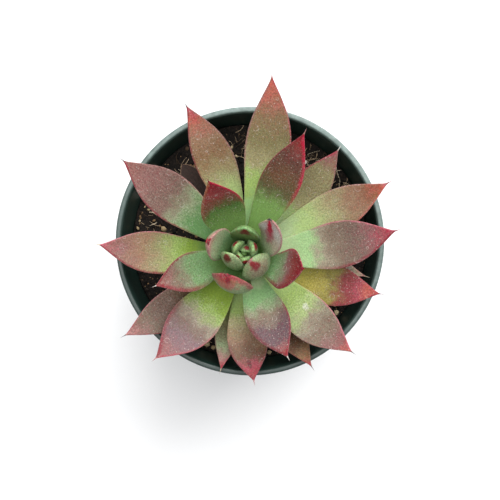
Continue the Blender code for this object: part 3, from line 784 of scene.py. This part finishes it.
def lofted(name, rings, per_ring, tip, place, sheet, offset):
    """A closed mesh through rings of points, with the pattern places as attributes."""
    count = rings * per_ring
    faces = []
    for row in range(rings - 1):
        for i in range(per_ring):
            j = (i + 1) % per_ring
            near, far = row * per_ring, (row + 1) * per_ring
            faces.append((near + i, far + i, far + j, near + j))
    last = (rings - 1) * per_ring
    faces += [(last + i, count, last + (i + 1) % per_ring) for i in range(per_ring)]
    faces.append(tuple(range(per_ring)))
    mesh = bpy.data.meshes.new(name)
    mesh.from_pydata([Vector(v) * MM for v in tip], [], faces)
    sheet = [(u + offset, v + offset, w) for u, v, w in sheet]
    for key, values in (("place", place), ("sheet", sheet)):
        layer = mesh.attributes.new(key, "FLOAT_VECTOR", "POINT")
        layer.data.foreach_set("vector", np.array(values, np.float32).ravel())
    mesh.shade_smooth()
    return mesh


def show(name, mesh, material, slot, *nodes):
    """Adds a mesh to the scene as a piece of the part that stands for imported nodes."""
    obj = bpy.data.objects.new(name, mesh)
    bpy.context.scene.collection.objects.link(obj)
    mesh.materials.append(material)
    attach(obj, "root")
    if nodes:
        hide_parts(*nodes)
    return obj


def leaf_mesh(name, leaf, line, pattern, spine=0.0, **options):
    columns = options.get("columns", LEAF_COLUMNS)
    rows = options.get("rows", LEAF_ROWS)
    verts, place, sheet = leaf_shape(leaf, line, **options)
    tip = line[2] + unit(line[2] - line[1]) * spine
    return lofted(
        name, rows, 2 * columns - 2, verts + [tip],
        place + [(1.0, 0.0, 0.5)], sheet + [(0.0, sheet[-1][1], 0.0)], PATTERN_SHIFT * pattern,
    )


def build_leaves():
    for index, (leaf, look) in enumerate(zip(LEAVES, LOOKS)):
        number = index + 1
        height = LEAF_FOOT_HEIGHT + LEAF_RISE * index
        line = leaf_line(leaf, height, stem_radius(height) - LEAF_SINK)
        plump = PLUMPNESS.get(number, 0.0)
        spine = LEAF_SPINE * (1 - plump)
        mesh = leaf_mesh(f"blade_{number:02d}", leaf, line, number, spine,
                         plump=plump, trim=TRIMS.get(number, 0.0))
        material = leaf_material(f"skin_{number:02d}", look, MARKS.get(number, ()), plump)
        show(f"blade_{number:02d}", mesh, material, "leaf_skin", f"leaf_{number:02d}")


def build_heart():
    material = leaf_material("skin_heart", HEART_LOOK, HEART_MARKS, 1.0)
    for index, leaf in enumerate(HEART_LEAVES):
        line = leaf_line(leaf, HEART_FOOT_HEIGHT + HEART_LEAF_FOOT, HEART_CORE_RADIUS / 2)
        name = f"heart_blade_{index + 1}"
        mesh = leaf_mesh(name, leaf, line, HEART_PATTERN + index, rows=HEART_ROWS,
                         columns=HEART_COLUMNS, wrinkle=0.2, plump=1.0, swell=HEART_SWELL)
        show(name, mesh, material, "leaf_skin", "heart")
    build_heart_core()


def build_heart_core():
    mesh = bpy.data.meshes.new("heart_core")
    core = bmesh.new()
    bmesh.ops.create_cone(
        core, cap_ends=True, segments=32,
        radius1=HEART_CORE_RADIUS * MM, radius2=HEART_CORE_TOP_RADIUS * MM,
        depth=HEART_CORE_HEIGHT * MM,
    )
    middle = Vector((STEM_X, STEM_Y, HEART_FOOT_HEIGHT + HEART_CORE_HEIGHT / 2))
    bmesh.ops.translate(core, verts=core.verts, vec=middle * MM)
    core.to_mesh(mesh)
    core.free()
    mesh.shade_smooth()
    show("heart_core", mesh, plain_green(), "leaf_skin", "heart")


def plain_green():
    paint = Paint("skin_core")
    place = paint.place_in_mm()
    fleck = paint.noise(place, 0.8, 3.0)
    colour = paint.mix(fleck, colour_of("deep_green"), colour_of("green"))
    paint.bump(fleck, 0.1, 0.4)
    return paint.finish(colour, 0.5)


def dry_material():
    paint = Paint("skin_dry")
    sheet = paint.attribute("sheet")
    rim = paint.split(sheet)[2]
    vein = paint.noise(paint.stretch(sheet, (1.6, 0.2, 0.0)), 1.0, 4.0, 0.6, flat=True)
    fleck = paint.noise(sheet, 0.9, 4.0, 0.6, flat=True)
    colour = paint.mix(vein, colour_of("umber", 0.15), colour_of("maroon", 0.35))
    colour = paint.mix(paint.step(fleck, 0.45, 0.75, 0.0, 0.6), colour, colour_of("umber", 0.12))
    colour = paint.mix(paint.step(rim, 0.5, 0.15, 0.0, 0.5), colour, colour_of("sand"))
    paint.bump(vein, 0.4, 0.9)
    return paint.finish(colour, 0.75)


def build_dry_leaf():
    radius = stem_radius(DRY_LEAF_FOOT_HEIGHT) - LEAF_SINK
    line = leaf_line(DRY_LEAF, DRY_LEAF_FOOT_HEIGHT, radius)
    mesh = leaf_mesh("withered_blade", DRY_LEAF, line, DRY_PATTERN, wrinkle=4.0, blunt=0.7)
    show("withered_blade", mesh, dry_material(), "dry_skin", "dry_leaf")


def turned_mesh(name, profile, segments, centre=(0.0, 0.0)):
    """A mesh turned about a vertical axis from (radius, height) points."""
    mesh = bmesh.new()
    rings = []
    for radius, height in profile:
        if radius == 0.0:
            rings.append([mesh.verts.new(Vector((centre[0], centre[1], height)) * MM)])
            continue
        ring = []
        for index in range(segments):
            angle = 2 * math.pi * index / segments
            x = centre[0] + radius * math.cos(angle)
            y = centre[1] + radius * math.sin(angle)
            ring.append(mesh.verts.new(Vector((x, y, height)) * MM))
        rings.append(ring)
    join_rings(mesh, rings, segments)
    return finished(mesh, name)


def join_rings(mesh, rings, segments):
    """Faces between neighbouring rings, where a single point stands for the narrowest ring."""
    for near, far in zip(rings, rings[1:]):
        for i in range(segments):
            j = (i + 1) % segments
            corners = [near[i % len(near)], far[i % len(far)], far[j % len(far)], near[j % len(near)]]
            mesh.faces.new(list(dict.fromkeys(corners)))


def finished(mesh, name):
    """The mesh data of a bmesh, with its faces turned outward and smooth."""
    bmesh.ops.recalc_face_normals(mesh, faces=mesh.faces[:])
    data = bpy.data.meshes.new(name)
    mesh.to_mesh(data)
    mesh.free()
    data.shade_smooth()
    return data


def arc(centre, radius, start, end, steps):
    """Points round a centre, from one angle in degrees to another."""
    angles = [math.radians(start + (end - start) * step / steps) for step in range(steps + 1)]
    return [(centre[0] + radius * math.cos(a), centre[1] + radius * math.sin(a)) for a in angles]


def squared_arc(centre, radius, start, end, steps):
    """As arc, for a lip with a flatter top and tighter corners."""
    points = []
    for x, z in arc((0.0, 0.0), 1.0, start, end, steps):
        stretch = (abs(x) ** POT_LIP_SQUARE + abs(z) ** POT_LIP_SQUARE) ** (-1 / POT_LIP_SQUARE)
        points.append((centre[0] + radius * x * stretch, centre[1] + radius * z * stretch))
    return points


def straight(start, end, steps):
    """Points between two others, without the first."""
    shares = [step / steps for step in range(1, steps + 1)]
    return [tuple(a + (b - a) * s for a, b in zip(start, end)) for s in shares]


def pot_inner_radius(height):
    top = POT_RIM_RADIUS - POT_LIP_WIDTH
    share = (height - POT_FLOOR) / (POT_HEIGHT - POT_FLOOR)
    return POT_FOOT_INNER_RADIUS + (top - POT_FOOT_INNER_RADIUS) * share


def pot_profile():
    lip_round = POT_LIP_WIDTH / 2
    lip_centre = (POT_RIM_RADIUS - lip_round, POT_HEIGHT - lip_round)
    lip_foot = POT_HEIGHT - POT_LIP_DROP
    corner = (POT_RIM_RADIUS - POT_LIP_CORNER, lip_foot + POT_LIP_CORNER)
    foot = pot_inner_radius(POT_FLOOR) + POT_WALL
    points = [(0.0, POT_FLOOR)]
    points += straight(points[-1], (pot_inner_radius(POT_FLOOR), POT_FLOOR), 6)
    points += straight(points[-1], (pot_inner_radius(lip_centre[1]), lip_centre[1]), 24)
    points += squared_arc(lip_centre, lip_round, 165, 0, 18)
    points += arc(corner, POT_LIP_CORNER, 0, -90, 6)
    points += straight(points[-1], (pot_inner_radius(lip_foot) + POT_WALL + 0.3, lip_foot), 2)
    points.append((pot_inner_radius(lip_foot) + POT_WALL, lip_foot - 0.3))
    points += straight(points[-1], (foot, POT_FOOT_ROUND), 24)
    points += arc((foot - POT_FOOT_ROUND, POT_FOOT_ROUND), POT_FOOT_ROUND, 0, -90, 6)[1:]
    points += straight(points[-1], (0.0, 0.0), 6)
    return points


def pot_material():
    """Dark green plastic with fine grain and dust, and a painted highlight along the top of the lip,
    patchy and strongest on the side that faces the window lamp.
    """
    paint = Paint("green_plastic")
    place = paint.place_in_mm()
    x, y, height = paint.split(place)
    grain = paint.noise(place, 2.2, 3.0, 0.6)
    cloud = paint.noise(place, 0.05, 4.0, 0.6)
    smear = paint.noise(paint.stretch(place, (0.06, 0.06, 0.9)), 1.0, 3.0, 0.6)
    base = paint.mix(cloud, POT_GREEN_DARK, POT_GREEN)
    # Painted highlight: the top of the lip turns pale in patches, most on the +Y and +X side that faces
    # the window lamp, fading to almost none on the far side
    lip = paint.step(height, POT_HEIGHT - 2.4, POT_HEIGHT - 0.6)
    lip_highlight = paint.times(lip, paint.step(paint.noise(place, 0.35, 4.0, 0.7), 0.3, 0.75, 0.45, 0.9))
    lit_side = paint.add(paint.times(y, 0.85), paint.times(x, 0.4))
    lip_highlight = paint.times(lip_highlight, paint.step(lit_side, -62.0, 62.0, 0.0, 0.86))
    colour = paint.mix(lip_highlight, base, POT_LIP_HIGHLIGHT)
    distance, (pick, _, _) = paint.cells(place, 0.9)
    fleck = paint.times(paint.step(pick, 0.9, 0.92), paint.step(distance, 0.25, 0.1))
    dust = paint.add(paint.times(fleck, 0.2), paint.step(smear, 0.6, 0.85, 0.0, 0.1))
    colour = paint.mix(dust, colour, colour_of("taupe"))
    paint.bump(grain, 0.06, 0.5)
    roughness = paint.add(paint.step(cloud, 0.3, 0.7, 0.36, 0.46), paint.times(dust, 0.5))
    return paint.finish(colour, roughness, Specular_IOR_Level=0.55)


def build_pot():
    """The turned pot, with its drain holes cut by drills that are then removed."""
    mesh = turned_mesh("planter", pot_profile(), POT_SEGMENTS)
    pot = bpy.data.objects.new("planter_blank", mesh)
    bpy.context.scene.collection.objects.link(pot)
    drills = []
    for index in range(DRAIN_HOLES):
        angle = 2 * math.pi * index / DRAIN_HOLES
        bpy.ops.mesh.primitive_cylinder_add(
            vertices=DRAIN_SIDES, radius=DRAIN_RADIUS * MM, depth=4 * POT_FLOOR * MM,
            location=direction(math.degrees(angle)) * DRAIN_CENTRE_RADIUS * MM,
        )
        drill = bpy.context.object
        drills.append(drill)
        cut = pot.modifiers.new("drain", "BOOLEAN")
        cut.object = drill
    depsgraph = bpy.context.evaluated_depsgraph_get()
    drained = bpy.data.meshes.new_from_object(pot.evaluated_get(depsgraph))
    for spare in [pot] + drills:
        bpy.data.objects.remove(spare)
    drained.materials.clear()
    drained.set_sharp_from_angle(angle=math.radians(40))
    show("planter", drained, pot_material(), "pot_plastic", "pot")


def soil_height(x, y):
    lump = noise.noise(Vector((x / SOIL_LUMP_SIZE, y / SOIL_LUMP_SIZE, SOIL_LUMP_SLICE)))
    clod = noise.noise(Vector((x / SOIL_CLOD_SIZE, y / SOIL_CLOD_SIZE, SOIL_CLOD_SLICE)))
    return SOIL_LEVEL + SOIL_LUMP * lump + SOIL_CLOD * clod


def soil_top_radius():
    return pot_inner_radius(SOIL_LEVEL - SOIL_LUMP) - SOIL_GAP


def kept_inside(x, y, margin):
    """The place, moved in from the pot's wall where it is nearer to it than the margin."""
    reach = soil_top_radius() - margin
    share = min(1.0, reach / max(math.hypot(x, y), 1.0))
    return x * share, y * share


def soil_material():
    paint = Paint("dark_peat")
    place = paint.place_in_mm()
    fine = paint.noise(place, 1.1, 5.0, 0.7)
    wide = paint.noise(place, 0.12, 3.0, 0.5)
    distance, (pick, _, _) = paint.cells(place, 0.8)
    colour = paint.mix(paint.step(fine, 0.35, 0.75), PEAT_BLACK, PEAT_BROWN)
    colour = paint.mix(paint.step(wide, 0.5, 0.75, 0.0, 0.4), colour, PEAT_RED)
    # Painted highlights: small tan specks that stand for glints on the peat grains
    painted_glint = paint.times(paint.step(pick, 0.86, 0.88), paint.step(distance, 0.35, 0.12, 0.0, 0.8))
    colour = paint.mix(painted_glint, colour, colour_of("tan"))
    paint.bump(paint.add(fine, paint.times(distance, 0.6)), 0.8, 1.0)
    return paint.finish(colour, 0.9, Specular_IOR_Level=0.3)


def rough_soil_height(x, y):
    rough = noise.fractal(Vector((x, y, 0.0)) * 0.9, 0.8, 2.0, 4)
    return soil_height(x, y) + SOIL_ROUGHNESS * rough


def soil_ring(mesh, radius, level=None):
    """A ring of points on the rough top, or at a level."""
    ring = []
    for index in range(SOIL_SEGMENTS):
        angle = 2 * math.pi * index / SOIL_SEGMENTS
        x, y = radius * math.cos(angle), radius * math.sin(angle)
        height = rough_soil_height(x, y) if level is None else level
        ring.append(mesh.verts.new(Vector((x, y, height)) * MM))
    return ring


def build_soil():
    floor = POT_FLOOR + SOIL_GAP
    mesh = bmesh.new()
    top_radius = soil_top_radius()
    loops = [soil_ring(mesh, top_radius * (ring + 1) / SOIL_RINGS) for ring in range(SOIL_RINGS)]
    loops.append(soil_ring(mesh, pot_inner_radius(floor) - SOIL_GAP, floor))
    join_rings(mesh, loops, SOIL_SEGMENTS)
    mesh.faces.new(loops[0])
    mesh.faces.new(loops[-1][::-1])
    show("peat_bed", finished(mesh, "peat_bed"), soil_material(), "soil_peat", "soil")


def scatter(name, places, make_piece, material, slot):
    """One mesh of many small pieces, each made by a function and tinted by a random number."""
    draw = random.Random(name)
    verts = []
    faces = []
    tints = []
    for place in places:
        points, corners = make_piece(draw, place)
        tint = draw.random()
        start = len(verts)
        verts += points
        faces += [tuple(start + i for i in corner) for corner in corners]
        tints += [tint] * len(points)
    mesh = bpy.data.meshes.new(name)
    mesh.from_pydata([Vector(v) * MM for v in verts], [], faces)
    layer = mesh.attributes.new("tint", "FLOAT", "POINT")
    layer.data.foreach_set("value", np.array(tints, np.float32))
    mesh.shade_smooth()
    return show(name, mesh, material, slot)


def lump_shape():
    ball = bmesh.new()
    bmesh.ops.create_icosphere(ball, subdivisions=1, radius=1.0)
    points = [v.co.copy() for v in ball.verts]
    corners = [tuple(v.index for v in f.verts) for f in ball.faces]
    ball.free()
    return points, corners


LUMP_POINTS, LUMP_FACES = lump_shape()


def random_turn(draw):
    axis = Vector((draw.gauss(0, 1), draw.gauss(0, 1), draw.gauss(0, 1))).normalized()
    return axis, draw.uniform(0, 2 * math.pi)


def crumb(draw, place):
    """A rough lump at (x, y, size), with about a third of it in the soil."""
    x, y, size = place
    axis, angle = random_turn(draw)
    turn = Matrix.Rotation(angle, 3, axis)
    flat = Vector((1.0, draw.uniform(0.6, 1.0), draw.uniform(0.5, 0.9)))
    shift = Vector((draw.uniform(-50, 50), 0.0, 0.0))
    x, y = kept_inside(x, y, CRUMB_REACH * size)
    centre = Vector((x, y, soil_height(x, y) + CRUMB_LIFT * size))
    points = []
    for p in LUMP_POINTS:
        bulge = 1.0 + 0.45 * noise.noise(p * 1.3 + shift)
        points.append(centre + turn @ Vector(a * b for a, b in zip(p, flat)) * size * bulge)
    return points, LUMP_FACES


def tinted_material(name, dark, light, pale, roughness=0.9):
    """Grains that go from dark to light by their tint, a few of them pale."""
    paint = Paint(name)
    tint = paint.node("Attribute", attribute_name="tint").outputs["Fac"]
    place = paint.place_in_mm()
    fine = paint.noise(place, 1.6, 4.0, 0.7)
    colour = paint.mix(paint.step(tint, 0.2, 0.9), dark, light)
    colour = paint.mix(paint.step(tint, 0.9, 0.92, 0.0, 0.8), colour, pale)
    colour = paint.shade(colour, paint.step(fine, 0.3, 0.7, 0.5, 1.3))
    paint.bump(fine, 0.4, 0.9)
    return paint.finish(colour, roughness, Specular_IOR_Level=0.3)


def build_crumbs():
    draw = random.Random(CRUMB_SEED)
    top = soil_top_radius() - CRUMB_MARGIN
    places = []
    for _ in range(CRUMBS):
        radius = top * math.sqrt(draw.random())
        angle = draw.uniform(0, 2 * math.pi)
        size = CRUMB_SMALLEST + CRUMB_SPREAD * draw.random() ** 3
        places.append((radius * math.cos(angle), radius * math.sin(angle), size))
    material = tinted_material("peat_crumb", PEAT_BLACK, PEAT_BROWN, colour_of("tan"))
    scatter("peat_crumbs", places, crumb, material, "soil_peat")


def build_grains():
    material = tinted_material("pale_grit", GRIT_DARK, GRIT_LIGHT, colour_of("white"), 0.8)
    scatter("grit_grains", GRAINS, crumb, material, "soil_peat")


def fibre(draw, place):
    """A thin curved strand at (x, y, azimuth, length, thickness) that lies on the soil."""
    x, y, azimuth, length, radius = place
    steps = FIBRE_STEPS
    sides = FIBRE_SIDES
    bend = draw.uniform(-FIBRE_BEND, FIBRE_BEND)
    lift = draw.uniform(*FIBRE_LIFTS)
    points = []
    heading = azimuth
    px, py = x, y
    for step in range(steps + 1):
        share = step / steps
        px, py = kept_inside(px, py, 2 * radius)
        z = soil_height(px, py) + FIBRE_REST + lift * math.sin(math.pi * share)
        across = direction(heading + 90)
        for side in range(sides):
            angle = 2 * math.pi * side / sides
            offset = across * math.cos(angle) * radius + np.array((0, 0, math.sin(angle) * radius))
            points.append(Vector((px, py, z)) + Vector(offset))
        heading += bend / steps + draw.uniform(-FIBRE_KINK, FIBRE_KINK)
        px += length / steps * math.cos(math.radians(heading))
        py += length / steps * math.sin(math.radians(heading))
    faces = []
    for step in range(steps):
        for i in range(sides):
            j = (i + 1) % sides
            near, far = step * sides, (step + 1) * sides
            faces.append((near + i, near + j, far + j, far + i))
    return points, faces


def build_fibres():
    draw = random.Random(FIBRE_SEED)
    limit = soil_top_radius() - FIBRE_MARGIN
    places = []
    for x, y, spread, count in FIBRE_PATCHES:
        for _ in range(count):
            px, py = draw.gauss(x, spread), draw.gauss(y, spread)
            if math.hypot(px, py) < limit:
                azimuth = draw.uniform(0, 360)
                length = draw.uniform(*FIBRE_LENGTHS)
                places.append((px, py, azimuth, length, draw.uniform(*FIBRE_RADII)))
    material = tinted_material("coir_fibre", FIBRE_DARK, FIBRE_LIGHT, colour_of("cream"), 0.8)
    scatter("coir_fibres", places, fibre, material, "soil_peat")


def stem_material():
    paint = Paint("woody_stem")
    place = paint.place_in_mm()
    ring = paint.noise(paint.stretch(place, (0.25, 0.25, 1.3)), 1.0, 4.0, 0.6)
    fine = paint.noise(place, 1.4, 4.0, 0.6)
    colour = paint.mix(ring, colour_of("umber"), colour_of("olive"))
    colour = paint.mix(paint.step(fine, 0.55, 0.8, 0.0, 0.5), colour, colour_of("sand"))
    paint.bump(ring, 0.6, 0.9)
    return paint.finish(colour, 0.75)


def build_stem():
    profile = [(0.0, STEM_PROFILE[0][0])]
    for (high, at_high), (low, at_low) in zip(STEM_PROFILE, STEM_PROFILE[1:]):
        steps = max(2, round(high - low))
        profile += [(at_high + (at_low - at_high) * s / steps, high + (low - high) * s / steps)
                    for s in range(steps)]
    profile += [(STEM_PROFILE[-1][1], STEM_PROFILE[-1][0]), (0.0, STEM_PROFILE[-1][0])]
    mesh = turned_mesh("trunk", profile, STEM_SEGMENTS, (STEM_X, STEM_Y))
    show("trunk", mesh, stem_material(), "stem_bark", "stem")


def build_stage():
    bpy.ops.mesh.primitive_plane_add(size=FLOOR_SIZE)
    floor = bpy.context.object
    floor.name = "floor"
    paint = Paint("pale_floor")
    cloud = paint.noise(paint.place_in_mm(), 0.004, 2.0)
    colour = paint.mix(cloud, FLOOR_DARK, FLOOR_LIGHT)
    floor.data.materials.append(paint.finish(colour, 0.9, Specular_IOR_Level=0.1))


def add_light(lamp):
    """A soft square lamp that points at the plant."""
    light = bpy.data.lights.new(lamp.name, "AREA")
    light.size = lamp.size
    light.energy = lamp.power
    obj = bpy.data.objects.new(lamp.name, light)
    obj.location = lamp.place
    aim = LAMP_AIM - Vector(lamp.place)
    obj.rotation_mode = "QUATERNION"
    obj.rotation_quaternion = aim.to_track_quat("-Z", "Y")
    bpy.context.scene.collection.objects.link(obj)


def build_lights():
    world = bpy.data.worlds.new("studio")
    world.use_nodes = True
    sky = world.node_tree.nodes["Background"]
    sky.inputs["Color"].default_value = SKY_COLOUR
    sky.inputs["Strength"].default_value = SKY_STRENGTH
    bpy.context.scene.world = world
    for lamp in LAMPS:
        add_light(lamp)


def build_camera():
    camera = bpy.data.cameras.new("camera")
    distance = CAMERA_HEIGHT - POT_HEIGHT
    camera.sensor_width = SENSOR_WIDTH
    camera.lens = SENSOR_WIDTH * distance / VIEW_WIDTH_AT_RIM
    camera.clip_start = 0.01
    camera.clip_end = 20.0
    obj = bpy.data.objects.new("camera", camera)
    obj.location = (0.0, CAMERA_Y * MM, CAMERA_HEIGHT * MM)
    bpy.context.scene.collection.objects.link(obj)
    bpy.context.scene.camera = obj


bpy.context.scene.view_settings.view_transform = "Standard"
build_camera()
build_stage()
build_lights()
build_pot()
build_soil()
build_crumbs()
build_grains()
build_fibres()
build_stem()
build_leaves()
build_heart()
build_dry_leaf()
